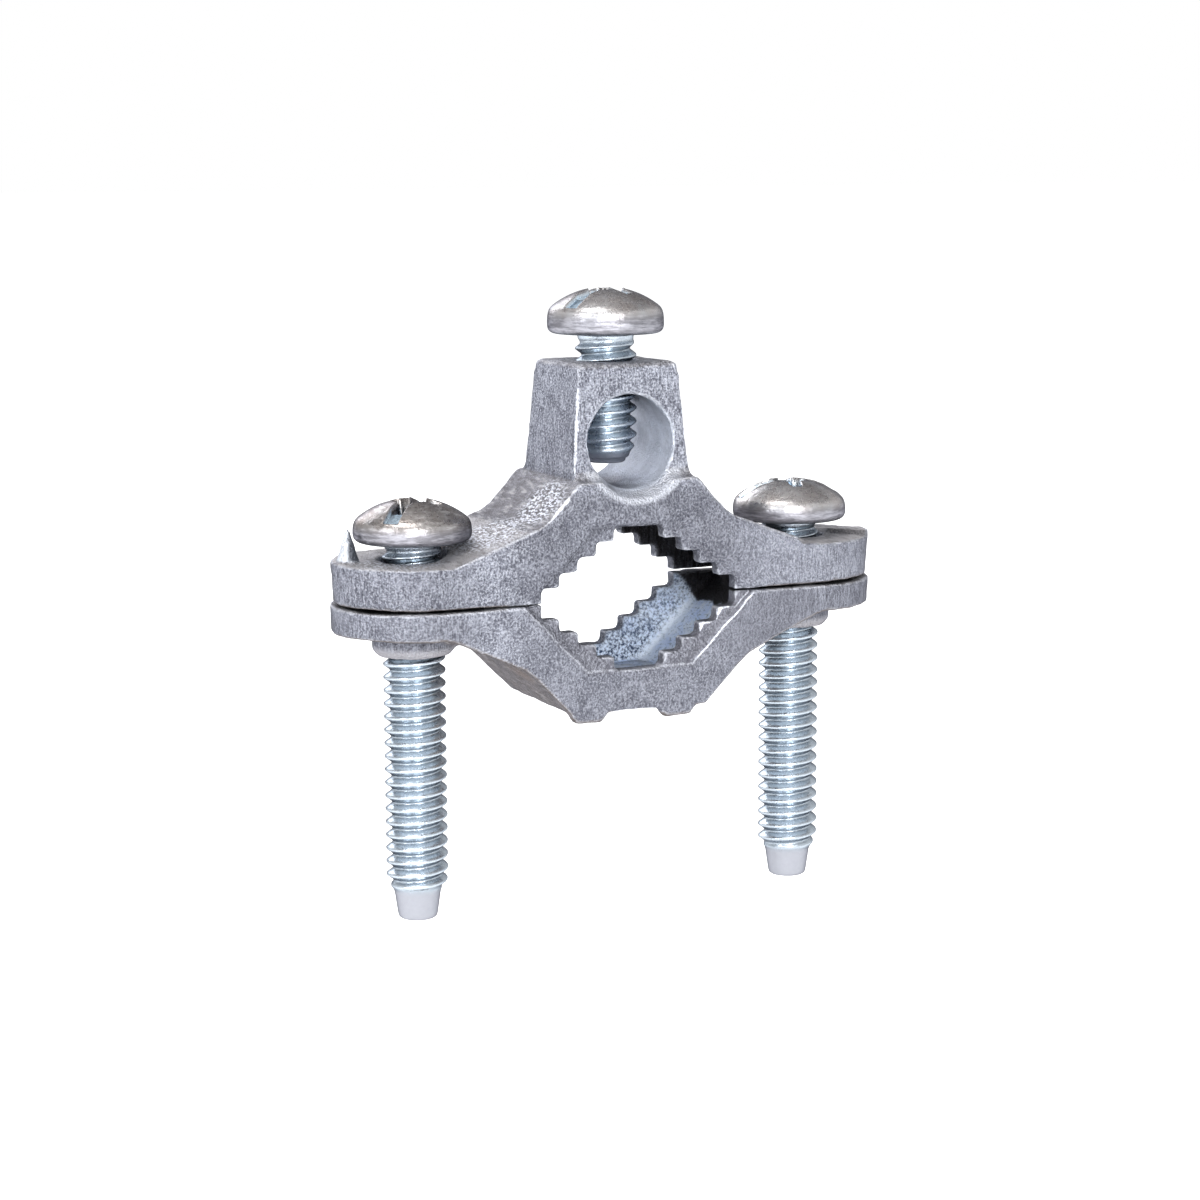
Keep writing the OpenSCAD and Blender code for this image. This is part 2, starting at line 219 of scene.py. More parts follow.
def head_profile(height):
    """Radius and height of the rings below the cap: down the dome's rim and the side,
    round the seat's edge and in to the neck. Averaging rolls the shoulder. Returns
    them with the height at which the side begins."""
    profile = [(r, float(dome_height(r, height))) for r in np.linspace(CAP_R, HEAD_R, 7)[1:]]
    side_top = profile[-1][1]
    profile += [(HEAD_R + 0.02 * math.sin(t * math.pi), side_top + t * (HEAD_EDGE - side_top))
                for t in (0.06, 0.2, 0.4, 0.6, 0.8, 0.94)]
    profile += [(SEAT_R + (HEAD_R - SEAT_R) * math.sin(t), HEAD_EDGE * (1 - math.cos(t)))
                for t in np.linspace(90, 0, 10) * DEG]
    profile += [(SEAT_R - 0.5, 0.0), (NECK_R + 0.6, 0.0), (NECK_R + 0.25, -0.02),
                (NECK_R + 0.06, -0.12)]
    outline = np.array(profile)
    near_shoulder = np.exp(-(((np.arange(len(outline)) - 6) / 5.0) ** 2))[1:-1, None]
    for _ in range(24):
        middle = (outline[:-2] + outline[2:]) / 2
        outline[1:-1] += 0.5 * near_shoulder * (middle - outline[1:-1])
    return outline, side_top


def shank_rings(angle, threaded):
    """Radii, one row for each ring, and heights of the threaded length. The neck narrows
    to the thread's root, and the ridge comes in below the head and fades at the tip."""
    z = -np.arange(0.25, threaded - 0.02, THREAD_PITCH / 15)
    lead = smooth_step(0.1, 1.5, -z) * smooth_step(threaded + 0.3, threaded - 1.1, -z)
    neck = ROOT_R + (NECK_R - ROOT_R) * smooth_step(1.3, 0.2, -z)
    ridge = thread_height(z[:, None] / THREAD_PITCH - angle[None] / (2 * math.pi))
    return neck[:, None] + lead[:, None] * ridge * (THREAD_R - neck[:, None]), z


# %% [markdown]
# A screw is one closed sheet: the recessed top, then rings of points down the side,
# the seat, the thread and the tip. Its places are stored as numbers from 0 to 1.

# %% Helpers: a whole screw and its places
def mark_screw(piece, points, height, side_top, threaded, grime):
    """Stores the places on a screw for its material: the thread's roots, painted in shade,
    the shank and tip, the sunk recess, painted in shade, and the slot's ends, painted
    with a blue reflection, the head's side, painted darker, and its grime."""
    z, radius = points[:, 2], np.hypot(points[:, 0], points[:, 1])
    store(piece, "root", np.where(z < -0.2, smooth_step(NECK_R, ROOT_R, radius), 0))
    store(piece, "shank", smooth_step(0.3, -0.2, z))
    store(piece, "tip", smooth_step(threaded - 0.2, threaded + 0.25, -z))
    sunk = np.where((z > 0.5) & (radius < 5.25), dome_height(radius, height) - z, 0)
    start_dark = 1.0 - 0.75 * grime
    store(piece, "recess", smooth_step(start_dark, start_dark + 0.5, sunk))
    ends = smooth_step(2.9, 3.4, np.abs(points[:, 0]))
    store(piece, "run_out", smooth_step(0.12, 0.3, sunk) * np.clip(ends + 1 - grime, 0, 1))
    side = smooth_step(side_top + 0.5, side_top - 0.7, z) * smooth_step(-0.05, 0.05, z)
    store(piece, "side", side)
    store(piece, "grime", grime * smooth_step(-0.1, 0.1, z))


def screw_object(name, centre, turn, height, length, dog, grime):
    """A whole screw as one closed skin: the recessed top, then rings of points down
    the rim, the seat and the thread, where r = root + depth f(z / pitch - angle / 360),
    and the plain tapered tip (the dog), closed at its end. The height is the head's,
    and the length is the shank's with the dog."""
    top, faces, rim = dome_top(height)
    angle = np.arctan2(top[rim, 1], top[rim, 0])
    head, side_top = head_profile(height)
    threaded = length - dog
    shank_r, shank_z = shank_rings(angle, threaded)
    tip = np.array([(2.3, 0.08), (2.2, 0.4), (2.05, dog * 0.5), (1.9, dog - 0.42),
                    (1.82, dog - 0.16), (1.66, dog - 0.03), (1.4, dog), (0.7, dog)])
    whole_turn = np.ones((1, len(rim)))
    radii = np.concatenate([head[:, :1] * whole_turn, shank_r, tip[:, :1] * whole_turn])
    heights = np.concatenate([head[:, 1], shank_z, -(threaded + tip[:, 1])])
    rings = np.stack([
        radii * np.cos(angle), radii * np.sin(angle), heights[:, None] * whole_turn
    ], axis=2)
    count, start = len(rim), len(top)
    number = np.concatenate([[rim], start + np.arange(rings.shape[0] * count).reshape(-1, count)])
    after = np.roll(number, -1, axis=1)
    quads = np.stack([number[:-1], number[1:], after[1:], after[:-1]], axis=2)
    faces += quads.reshape(-1, 4).tolist()
    end = start + rings.shape[0] * count
    faces += [[end, b, a] for a, b in zip(number[-1].tolist(), after[-1].tolist())]
    points = np.concatenate([top, rings.reshape(-1, 3), [[0, 0, -length]]])
    spin = turn * DEG
    turned = np.column_stack([
        points[:, 0] * math.cos(spin) - points[:, 1] * math.sin(spin),
        points[:, 0] * math.sin(spin) + points[:, 1] * math.cos(spin),
        points[:, 2],
    ])
    piece = mesh_object(name, turned + np.array(centre), faces)
    mark_screw(piece, points, height, side_top, threaded, grime)
    print(f"{name}: {len(points)} points, {len(faces)} faces, {round(threaded / THREAD_PITCH, 1)} turns")
    return piece


# %% Make the three screws
SCREW_X = 20
SCREWS = {
    "clamp_screw_left": screw_object(
        "threaded_clamp_screw_left", centre=(-SCREW_X, 0, 5.7),
        turn=46, height=4.05, length=36.3, dog=2.9, grime=1.0),
    "clamp_screw_right": screw_object(
        "threaded_clamp_screw_right", centre=(SCREW_X, 0, 5.55),
        turn=168, height=4.05, length=36.3, dog=2.9, grime=0.15),
    "wire_screw": screw_object(
        "threaded_wire_screw", centre=(0, 0, 24.55),
        turn=25, height=4.4, length=12.4, dog=1.0, grime=0.3),
}

# %% [markdown]
# ## The castings
# A die casting has no knife edges: the die is eased, and tumbling wears what
# stands proud. Bevel modifiers fail on a CAD solid's long thin triangles, so a
# merged copy is remeshed into even cells, and each point is then averaged with
# its neighbours a few times, which rounds the edges by a few tenths of a
# millimetre and leaves flat faces flat. Slow noise makes the skin a little uneven.

# %% Helper: averaging over a mesh
def neighbour_mean(points, edges):
    """Each point's mean neighbour, from sums over both ends of every edge."""
    ends = np.concatenate([edges, edges[:, ::-1]])
    share = np.bincount(ends[:, 0], minlength=len(points))[:, None]
    total = np.stack([
        np.bincount(ends[:, 0], weights=points[ends[:, 1], k], minlength=len(points))
        for k in range(points.shape[1])
    ], axis=1)
    return total / np.maximum(share, 1)


def slow_noise(points, size, seed):
    """A smooth random field with a spread of 1: the sum of 20 sine waves of about that
    wavelength in mm, each along its own direction, over sqrt(10)."""
    chance = np.random.default_rng(seed)
    ways = chance.normal(size=(20, 3))
    ways /= np.linalg.norm(ways, axis=1)[:, None]
    ways *= 2 * math.pi / (size * chance.uniform(0.7, 1.4, size=(20, 1)))
    shifts = chance.uniform(0, 2 * math.pi, 20)
    return np.sin(points @ ways.T + shifts).sum(axis=1) / math.sqrt(10)


# %% Casting sizes in mm, as in the CAD source or read off the photograph
CELL, MERGE, SETTLED = 0.22, 0.002, 0.045
EASING = (0.6, -0.55, 0.6, -0.55, 0.5, 0.3)
EAR_X, SPUR_X, HOLE_Z = 19.85, -26.4, 14.6
EAR_TOP_FROM, BOSS_FROM = 11.4018, 16.1245
HOLLOW_HALF, INNER_WALL_Y = 15.15, 5.95
SCRIBED_IN, SCRIBED_DEPTH = 2.53, 7.1
PAD_X, PAD_Y, PAD_Z, PAD_RISE = 23.7, -1.9, 4.06, 0.42
TO_THE_RIGHT = (0.911, -0.412)  # in the photograph
print("hollow's slopes at |x| + |z| =", HOLLOW_HALF, "mm, cells of", CELL, "mm")

# %% Helpers: details that the averaging takes
def past_pad_edge(x, y):
    """How far a place lies behind the slanting front edge of the right ear's pad."""
    return 0.727 * (x - PAD_X) + 0.686 * (y - PAD_Y)


def reshape_details(points):
    """Gives back what the averaging took: the spur's point and girth, and the close
    split, which is tightest beside the bite, where a little flash stands. The right
    ear's lip is laid down into a low pad with a slanting front edge."""
    x, y, z = points.T
    spur = smooth_step(1.7, 1.3, np.hypot(x - SPUR_X, y)) * smooth_step(4.0, 4.3, z)
    x = x + spur * 0.30 * (x - SPUR_X)
    y = y + spur * 0.30 * y
    z = z + spur * 0.22 * (z - 4.0)
    on_top = smooth_step(16.8, 17.4, x) * smooth_step(PAD_Z - 0.25, PAD_Z - 0.1, z)
    z = z - on_top * np.maximum(z - PAD_Z, 0) * smooth_step(5.9, 6.3, np.hypot(x - SCREW_X, y))
    pad = smooth_step(-0.12, 0.12, past_pad_edge(x, y))
    pad = pad * smooth_step(PAD_X - 0.4, PAD_X, x) * smooth_step(2.6, -2.0, y)
    z = z + on_top * PAD_RISE * pad
    beside = smooth_step(16.5, 13.5, np.abs(x)) * smooth_step(-5.5, -6.0, y)
    z = z - np.sign(z) * (0.05 + 0.07 * beside) * smooth_step(0.55, 0.25, np.abs(z))
    return np.column_stack([x, y, z])


# %% Helpers: one casting from its CAD solid
def even_skin(node):
    """The mesh of a CAD solid in mm, merged and remeshed into even cells."""
    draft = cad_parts[node].copy()
    draft.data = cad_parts[node].data.copy()
    draft.parent = None
    for key in list(draft.keys()):
        del draft[key]
    bpy.context.scene.collection.objects.link(draft)
    draft.data.transform(Matrix.Scale(1 / MM, 4))
    weld = draft.modifiers.new("weld", "WELD")
    weld.merge_threshold = MERGE
    even = draft.modifiers.new("even", "REMESH")
    even.mode = "VOXEL"
    even.voxel_size = CELL
    found = draft.evaluated_get(bpy.context.evaluated_depsgraph_get())
    mesh = bpy.data.meshes.new_from_object(found)
    bpy.data.objects.remove(draft)
    return mesh


def rows_of(items, key, width, kind=float):
    """One property of all vertices or all edges as an array, a row for each."""
    rows = np.zeros(len(items) * width, kind)
    items.foreach_get(key, rows)
    return rows.reshape(-1, width)


def cast_object(name, node):
    """A jaw as an even skin of cells, its edges eased, its faces slightly uneven. Keeps
    for the material how far each point stands proud of its surroundings, for bright wear
    and painted highlights, or lies below them (sheltered), for painted shade. Returns
    the object, its points and its normals."""
    mesh = even_skin(node)
    points = rows_of(mesh.vertices, "co", 3)
    edges = rows_of(mesh.edges, "vertices", 2, int)
    for pull in EASING:
        points = points + pull * (neighbour_mean(points, edges) - points)
    mesh.vertices.foreach_set("co", points.ravel())
    mesh.update()
    normals = rows_of(mesh.vertices, "normal", 3)
    around = points
    for _ in range(8):
        around = around + 0.7 * (neighbour_mean(around, edges) - around)
    proud = ((points - around) * normals).sum(axis=1)
    uneven = 0.030 * slow_noise(points, 6, 3) + 0.012 * slow_noise(points, 1.6, 4)
    points = points + normals * (uneven - SETTLED)[:, None]
    points = reshape_details(points)
    mesh.vertices.foreach_set("co", (points * MM).ravel())
    mesh.polygons.foreach_set("use_smooth", np.ones(len(mesh.polygons), bool))
    mesh.materials.clear()
    mesh.update()
    piece = bpy.data.objects.new(name, mesh)
    bpy.context.scene.collection.objects.link(piece)
    # Proud edges take bright wear and painted highlights, sunken places painted shade.
    store(piece, "wear_and_highlight", np.clip(proud / 0.09, 0, 1))
    store(piece, "sheltered", np.clip(-proud / 0.09, 0, 1))
    print(f"{name}: {len(points)} points, {len(mesh.polygons)} faces")
    return piece, points, normals


# %% Make the two jaws
upper_cast, upper_points, upper_normals = cast_object("cast_upper_jaw", "upper_jaw")
lower_cast, lower_points, lower_normals = cast_object("cast_lower_jaw", "lower_jaw")

# %% [markdown]
# ## Where the castings are drawn, stained and painted with light and shade
# Some marks belong to places: vertical drag lines on the ears' round ends and the
# lug's sides, painted glints in sparkling patches on the arch's shoulder, painted
# highlights along edges of the lug, the arch, the right ear and the lower jaw's
# front, and a brown stain under the lower jaw. Painting them by hand would not
# follow the shape, so each is a soft region in space. The cored hollow is told
# apart from the skin by the same sizes that cut it: its floor and back wall are
# painted a bluish light, as if lit by the window, and its upper half is painted
# near black as shade.

# %% Mark the places
def soft_ball(points, centre, radii):
    """1 in the middle of an ellipsoid, falling smoothly to 0 at its surface."""
    away = np.linalg.norm((points - np.array(centre)) / np.array(radii), axis=1)
    return smooth_step(1.0, 0.45, away)


def mark_places(piece, points, normals, painted_edge_highlight, sparkling, stained):
    """Stores the drag lines' mask and the soft regions: edges with painted highlights,
    sides with painted glints, and brown stains."""
    steep = smooth_step(0.45, 0.15, np.abs(normals[:, 2]))
    ends = smooth_step(15.5, 18.5, np.abs(points[:, 0]))
    lug = smooth_step(10.5, 12.5, points[:, 2])
    store(piece, "drawn", steep * np.clip(0.3 + ends + 0.7 * lug, 0, 1))
    for name, places in (("painted_edge_highlight", painted_edge_highlight), ("sparkling", sparkling), ("stained", stained)):
        store(piece, name, np.clip(sum(soft_ball(points, c, r) for c, r in places), 0, 1))


mark_places(
    upper_cast, upper_points, upper_normals,
    painted_edge_highlight=[((-5.7, -5.6, 16.5), (1.2, 1.4, 9.0)), ((-8.4, -7.6, 8.9), (3.4, 1.0, 2.7)),
             ((4.4, -5.6, 13.6), (1.2, 1.2, 3.2)), ((26, -2, 4.3), (2.4, 4, 0.8))],
    sparkling=[((-13.0, -2.5, 5.8), (5.6, 6.4, 3.4)), ((-8.4, -3.5, 9.0), (4.0, 5.0, 3.4)),
               ((-22.5, -3, 4.1), (5.5, 5.0, 0.8))],
    stained=[((-16.5, 4, 5), (5, 5, 2)), ((0.5, 1, 10.3), (2.6, 2.4, 1.0))],
)
mark_places(
    lower_cast, lower_points, lower_normals,
    painted_edge_highlight=[((8.5, -7.6, -3.6), (5.2, 1.0, 4.2))],
    sparkling=[((6.5, 0, -5), (6.5, 5.8, 5))],
    stained=[((-13.0, -4.0, -7.0), (5.5, 5.0, 3.6))],
)


# %% Helper: mark the hollow
def mark_hollow(piece, points, normals, open_to_light):
    """Stores the cored hollow behind the bite for painted light and shade: its part painted
    as lit (cored), its part painted near black as shade (deep), the crease and back wall
    painted as lit, and the backs of the lower teeth painted in shade. Returns how far
    each point counts as inside the hollow."""
    x, y, depth = points[:, 0], points[:, 1], np.abs(points[:, 2])
    slope = np.abs(x) + depth - HOLLOW_HALF
    inside = smooth_step(0.45, 0.25, slope) * smooth_step(6.2, 6.05, np.abs(y))
    inside = inside * smooth_step(8.85, 8.7, depth)
    edge = 10.3 + 0.72 * depth + 0.25 * slow_noise(points, 1.5, 8)
    shaded_end = smooth_step(-0.2, 0.35, x - edge) * smooth_step(3.5, 3.1, depth)
    # Painted light and shade: the lit part is painted pale blue, the rest near black.
    lit = inside * (1 - np.maximum(shaded_end, smooth_step(-2, -6, x))) * open_to_light
    shown = 1 - 0.85 * smooth_step(0.2, 0.6, normals[:, 1])
    store(piece, "cored", lit * shown)
    store(piece, "deep", inside - lit)
    meeting = np.exp(-((slope / 0.16) ** 2) - ((y - INNER_WALL_Y) / 0.2) ** 2)
    meeting = np.maximum(meeting, 0.4 * smooth_step(3.6, 5.7, y) * smooth_step(-0.6, -0.3, slope))
    store(piece, "crease", lit * shown * meeting * smooth_step(3, 6, x))
    wall = smooth_step(-0.35, -0.75, normals[:, 1]) * smooth_step(-0.1, -1.6, slope)
    store(piece, "back_wall", lit * wall * (0.6 + 0.4 * smooth_step(3, 8, depth)))
    behind = smooth_step(5.5, 5.8, y) * smooth_step(-0.4, -0.9, slope) * smooth_step(-6, -4, x)
    store(piece, "tooth_backs", behind * (1 - lit) * (depth > 0.4) * open_to_light)
    return inside


# %% Helper: mark the faces
def mark_faces(piece, points, normals, inside, open_to_light):
    """Stores faces by their place and lean: the band at the split, painted near black as
    shade, tops and undersides for painted light, the ears' flat tops and the bosses to be
    painted lighter, and the calm and the dull sides."""
    x, y, z = points.T
    # The band at the split is painted near black, as shade between the jaws.
    reach = np.hypot(np.maximum(np.abs(x) - EAR_X, 0), y)
    band = smooth_step(7.4, 7.15, reach) * smooth_step(3.6, 4.6, reach)
    split = smooth_step(0.3, 0.2, np.abs(z)) * band * smooth_step(5.6, 5.0, y)
    store(piece, "split", split * (1 - inside))
    over_hollow = smooth_step(-2.0, -1.0, np.abs(x) + np.abs(z) - HOLLOW_HALF)
    lean = normals[:, 2] * (1 - inside) * over_hollow
    boss = smooth_step(-3.9, -4.3, z) * (np.abs(x) > BOSS_FROM)
    store(piece, "boss", boss)
    # Tops, undersides, ear tops and bosses are kept for painted light.
    store(piece, "upward", smooth_step(0.25, 0.6, lean))
    store(piece, "downward", smooth_step(-0.2, -0.55, lean) * (1 - 0.6 * boss))
    flat = smooth_step(0.88, 0.97, normals[:, 2]) * smooth_step(3.5, 3.8, z)
    store(piece, "ear_top", flat * (np.abs(x) > EAR_TOP_FROM))
    store(piece, "calm", np.clip(smooth_step(6, 14, x) + 0.4 * open_to_light, 0, 1))
    right_side = smooth_step(8, 14, x)
    dull = smooth_step(-17, -9, x) * smooth_step(12, 9.5, z) * (1.35 - 0.35 * open_to_light)
    dull = dull * (1 - 0.85 * (1 - open_to_light) * right_side)
    dull = dull + 0.3 * open_to_light * right_side
    store(piece, "dull", dull + 0.8 * smooth_step(-14, -19, x))


# %% Helpers: mark the bite and the small parts
def mark_bite(piece, points, inside, open_to_light):
    """Stores where the scribed line may show on the lower jaw's front, and the strip
    between it and the bite."""
    x, y, depth = points[:, 0], points[:, 1], np.abs(points[:, 2])
    outline = np.maximum(np.abs(x) + depth - HOLLOW_HALF + SCRIBED_IN, depth - SCRIBED_DEPTH)
    front = smooth_step(-6.6, -6.9, y) * smooth_step(12.4, 11.4, np.abs(x)) * open_to_light
    strong = 0.25 + 0.75 * smooth_step(5.4, 6.4, x)
    near_line = smooth_step(1.2, 0.8, np.abs(outline))
    store(piece, "scribed", near_line * strong * front * (1 - inside))
    store(piece, "strip", smooth_step(0.1, -0.1, outline) * front)


def mark_small_parts(piece, points, normals):
    """Stores the wire hole's wall, lighter in part as painted light, and the crescent of
    wear under it, the spur, painted light, with its right side in painted shade, the
    pad's edge and the lip's line as painted shade lines, and the painted shade round
    the necks under the heads."""
    x, y, z = points.T
    hole_r = np.hypot(x, z - HOLE_Z)
    # The wire hole's wall is painted lighter, partly as light inside the hole.
    store(piece, "bored", smooth_step(4.75, 4.5, hole_r) * smooth_step(8.0, 9.0, z))
    crescent = smooth_step(4.35, 4.6, hole_r) * smooth_step(6.0, 5.5, hole_r)
    crescent = crescent * smooth_step(5.75, 6.1, np.abs(y)) * smooth_step(12.8, 11.6, z)
    store(piece, "crescent", crescent)
    # The spur is painted light, partly as its lit side, and its right side in painted shade.
    spur = smooth_step(1.9, 1.6, np.hypot(x - SPUR_X, y)) * smooth_step(4.1, 4.35, z)
    store(piece, "spur", spur)
    rightward = TO_THE_RIGHT[0] * normals[:, 0] + TO_THE_RIGHT[1] * normals[:, 1]
    store(piece, "spur_shade", spur * smooth_step(-0.1, 0.35, rightward))
    # Painted shade lines along the pad's front edge and the lip's rounded edge.
    pad_edge = np.exp(-((past_pad_edge(x, y) / 0.28) ** 2))
    pad_edge = pad_edge * smooth_step(PAD_X - 0.5, PAD_X - 0.1, x) * smooth_step(3.7, 3.9, z)
    store(piece, "pad_edge", pad_edge)
    rounded = np.exp(-(((normals[:, 2] - 0.5) / 0.22) ** 2)) * smooth_step(3.2, 3.5, z)
    store(piece, "lip_line", rounded * smooth_step(19.5, 21.5, x) * smooth_step(2, -1, y))
    # Painted shade round the screws' necks, under the heads.
    ring = np.minimum(np.hypot(np.abs(x) - SCREW_X, y), 9)
    painted_shade = smooth_step(3.9, 3.0, ring) * smooth_step(0.4, 0.8, normals[:, 2]) * (np.abs(x) > 10)
    store(piece, "neck_shade", painted_shade)


# %% Mark both castings
for piece, points, normals, open_to_light in (
    (upper_cast, upper_points, upper_normals, 0.0),
    (lower_cast, lower_points, lower_normals, 1.0),
):
    inside = mark_hollow(piece, points, normals, open_to_light)
    mark_faces(piece, points, normals, inside, open_to_light)
    mark_bite(piece, points, inside, open_to_light)
    mark_small_parts(piece, points, normals)
    print(piece.name, "has", round(float(inside.mean()) * 100), "% of its points in the hollow")

# %% [markdown]
# ## Shared effects
# Grain, drag lines and broken-up wear are used by more than one finish, so each
# is a node group with named inputs. The groups hand back values only, and the
# Principled shader stays in each material.

# %% Helper: node groups
def new_group(name, inputs, outputs):
    """An empty node group with these named sockets. Returns it with its two ends."""
    group = bpy.data.node_groups.new(name, "ShaderNodeTree")
    for label, kind, value in inputs:
        socket = group.interface.new_socket(label, in_out="INPUT", socket_type=kind)
        if value is not None:
            socket.default_value = value
    for label, kind in outputs:
        group.interface.new_socket(label, in_out="OUTPUT", socket_type=kind)
    return group, group.nodes.new("NodeGroupInput"), group.nodes.new("NodeGroupOutput")


def add_node(tree, kind, **settings):
    """A node with its settings. Keys that name an input socket set that socket."""
    node = tree.nodes.new(kind)
    for key, value in settings.items():
        if hasattr(node, key):
            setattr(node, key, value)
        else:
            node.inputs[key.replace("_", " ")].default_value = value
    return node


def join(tree, source, target):
    """Links an output socket to an input socket."""
    tree.links.new(source, target)


FLOAT, VECTOR = "NodeSocketFloat", "NodeSocketVector"


def math_node(tree, operation, a, b=None, clamp=False):
    """One math node. Sockets are linked and plain numbers are set."""
    node = add_node(tree, "ShaderNodeMath", operation=operation, use_clamp=clamp)
    for slot, value in enumerate((a, b)):
        if value is None:
            continue
        if isinstance(value, (int, float)):
            node.inputs[slot].default_value = value
        else:
            join(tree, value, node.inputs[slot])
    return node.outputs[0]


# %% Shared effect: cast grain
grain_group, g_in, g_out = new_group(
    "cast_grain",
    [("Place", VECTOR, None), ("Fine Scale", FLOAT, 5000.0), ("Coarse Scale", FLOAT, 420.0)],
    [("Grain", FLOAT), ("Mottle", FLOAT), ("Specks", FLOAT)],
)
fine = add_node(grain_group, "ShaderNodeTexNoise", Detail=2.0, Roughness=0.55)
coarse = add_node(grain_group, "ShaderNodeTexNoise", Detail=6.0, Roughness=0.7)
specks = add_node(grain_group, "ShaderNodeTexVoronoi", feature="F1", Randomness=1.0)
half_fine = math_node(grain_group, "MULTIPLY", g_in.outputs["Fine Scale"], 0.55)
for texture, scale in ((fine, g_in.outputs["Fine Scale"]), (coarse, g_in.outputs["Coarse Scale"]),
                       (specks, half_fine)):
    join(grain_group, g_in.outputs["Place"], texture.inputs["Vector"])
    join(grain_group, scale, texture.inputs["Scale"])
near = add_node(grain_group, "ShaderNodeMapRange")
near.inputs["From Min"].default_value = 0.28
near.inputs["From Max"].default_value = 0.10
join(grain_group, specks.outputs["Distance"], near.inputs["Value"])
join(grain_group, fine.outputs["Fac"], g_out.inputs["Grain"])
join(grain_group, coarse.outputs["Fac"], g_out.inputs["Mottle"])
join(grain_group, near.outputs["Result"], g_out.inputs["Specks"])

# %% Shared effect: drawn lines
drawn_group, d_in, d_out = new_group(
    "drawn_lines",
    [("Place", VECTOR, None), ("Stretch", VECTOR, (1.0, 1.0, 0.18)), ("Scale", FLOAT, 4600.0)],
    [("Lines", FLOAT)],
)
stretch = add_node(drawn_group, "ShaderNodeVectorMath", operation="MULTIPLY")
join(drawn_group, d_in.outputs["Place"], stretch.inputs[0])
join(drawn_group, d_in.outputs["Stretch"], stretch.inputs[1])
lines = add_node(drawn_group, "ShaderNodeTexNoise", Detail=3.0, Roughness=0.6)
join(drawn_group, stretch.outputs[0], lines.inputs["Vector"])
join(drawn_group, d_in.outputs["Scale"], lines.inputs["Scale"])
join(drawn_group, lines.outputs["Fac"], d_out.inputs["Lines"])

# %% Shared effect: broken wear
wear_group, w_in, w_out = new_group(
    "broken_wear",
    [("Mask", FLOAT, 0.0), ("Place", VECTOR, None), ("Scale", FLOAT, 1500.0),
     ("Start", FLOAT, 0.35), ("Width", FLOAT, 0.3)],
    [("Wear", FLOAT)],
)
patches = add_node(wear_group, "ShaderNodeTexNoise", Detail=4.0, Roughness=0.65)
join(wear_group, w_in.outputs["Place"], patches.inputs["Vector"])
join(wear_group, w_in.outputs["Scale"], patches.inputs["Scale"])
uneven = math_node(wear_group, "SUBTRACT", patches.outputs["Fac"], 0.5)
uneven = math_node(wear_group, "MULTIPLY", uneven, 1.1)
pushed = math_node(wear_group, "ADD", w_in.outputs["Mask"], uneven)
end = math_node(wear_group, "ADD", w_in.outputs["Start"], w_in.outputs["Width"])
cut = add_node(wear_group, "ShaderNodeMapRange", interpolation_type="SMOOTHSTEP")
join(wear_group, pushed, cut.inputs["Value"])
join(wear_group, w_in.outputs["Start"], cut.inputs["From Min"])
join(wear_group, end, cut.inputs["From Max"])
join(wear_group, cut.outputs["Result"], w_out.inputs["Wear"])

# %% [markdown]
# ## Cast zinc
# As-cast zinc is a dull lilac grey, mottled where the melt froze in patches, with
# bright points and dark pits a fifth of a millimetre across. The colour is built in
# layers, from the skin to the marks: mottle, grain, drag lines, painted light on tops
# and undersides, stain, bright edges of wear and painted highlight, the hollow's
# painted light and shade, and painted shade at the rims and the split. Bump carries
# the same grain, so that the light and the colour agree.

# %% Helpers: material parts
def new_material(name):
    """A material with a Principled shader, its Object coordinates and its tree."""
    material = bpy.data.materials.new(name)
    material.use_nodes = True
    tree = material.node_tree
    shader = tree.nodes["Principled BSDF"]
    place = add_node(tree, "ShaderNodeTexCoord").outputs["Object"]
    return material, tree, shader, place


def use_group(tree, group, **links):
    """A placed group. Sockets are linked and numbers are set by their names."""
    node = add_node(tree, "ShaderNodeGroup", node_tree=group)
    for key, value in links.items():
        socket = node.inputs[key.replace("_", " ")]
        if isinstance(value, (int, float, tuple)):
            socket.default_value = value
        else:
            join(tree, value, socket)
    return node


def kept(tree, name):
    """The number stored on the mesh under that name."""
    return add_node(tree, "ShaderNodeAttribute", attribute_name=name).outputs["Fac"]


def tint(tree, share, first, second):
    """Goes from the first colour to the second by a share. A colour is a socket or
    three numbers."""
    node = add_node(tree, "ShaderNodeMix", data_type="RGBA")
    join(tree, share, node.inputs["Factor"])
    for socket, colour in ((node.inputs[6], first), (node.inputs[7], second)):
        if isinstance(colour, tuple):
            socket.default_value = (*colour, 1)
        else:
            join(tree, colour, socket)
    return node.outputs[2]


def spread(tree, value, low, high, to_low=0.0, to_high=1.0):
    """Maps low..high of a value to the new range, and holds it there."""
    node = add_node(tree, "ShaderNodeMapRange")
    join(tree, value, node.inputs["Value"])
    for key, number in (("From Min", low), ("From Max", high), ("To Min", to_low), ("To Max", to_high)):
        node.inputs[key].default_value = number
    return node.outputs["Result"]


def times(tree, a, b):
    """The product of two sockets, or of a socket and a number."""
    return math_node(tree, "MULTIPLY", a, b)


def drawn(tree, place, stretch, scale):
    """The drawn lines at this stretch and scale."""
    return use_group(tree, drawn_group, Place=place, Stretch=stretch, Scale=scale).outputs["Lines"]


def broken(tree, place, mask, start, width, scale=1500.0):
    """A mask broken up into patches of wear, from where its edge starts."""
    return use_group(tree, wear_group, Mask=mask, Place=place, Scale=scale,
                     Start=start, Width=width).outputs["Wear"]


def wash(tree, below, layers):
    """Lays washes of colour over a colour, one after another. Each is a mask, which is
    a socket or the name of a stored number, its strength and its colour."""
    for mask, strength, colour in layers:
        if isinstance(mask, str):
            mask = kept(tree, mask)
        below = tint(tree, times(tree, mask, strength), below, colour)
    return below


